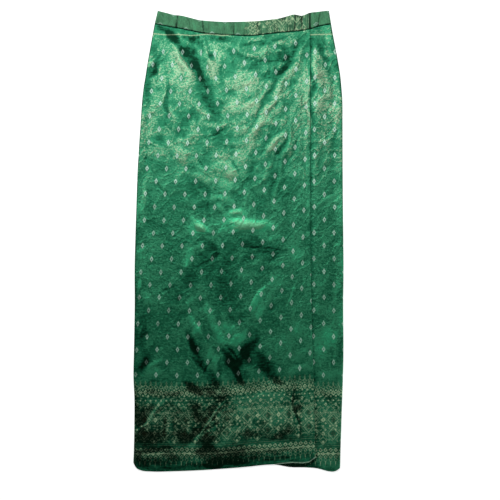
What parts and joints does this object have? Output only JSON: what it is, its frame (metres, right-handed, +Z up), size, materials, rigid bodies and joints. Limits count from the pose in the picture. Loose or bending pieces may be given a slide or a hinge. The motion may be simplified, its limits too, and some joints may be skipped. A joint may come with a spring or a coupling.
{
  "type": "wrap-front sinh tube skirt laid flat",
  "caption": "Long straight silk sinh skirt laid flat: back, wrap front lapped over an under front, side seams and a narrow waistband.",
  "frame": {"origin": "on the surface the skirt lies on, at the middle of the skirt's box", "axes": "+Y from the hem towards the waist, +Z up out of the surface, +X to the right as the front is seen from above"},
  "size_m": [0.4514, 0.9899, 0.0069],
  "materials": {
    "silk_brocade": "satin brocade",
    "waistband_brocade": "silk seen across its ribs, less shiny"
  },
  "bodies": {
    "root": {"wrap_front": "silk_brocade", "under_front": "silk_brocade", "back": "silk_brocade", "waistband_wrap": "waistband_brocade", "waistband_under": "waistband_brocade", "waistband_back": "waistband_brocade"}
  },
  "joints": []
}
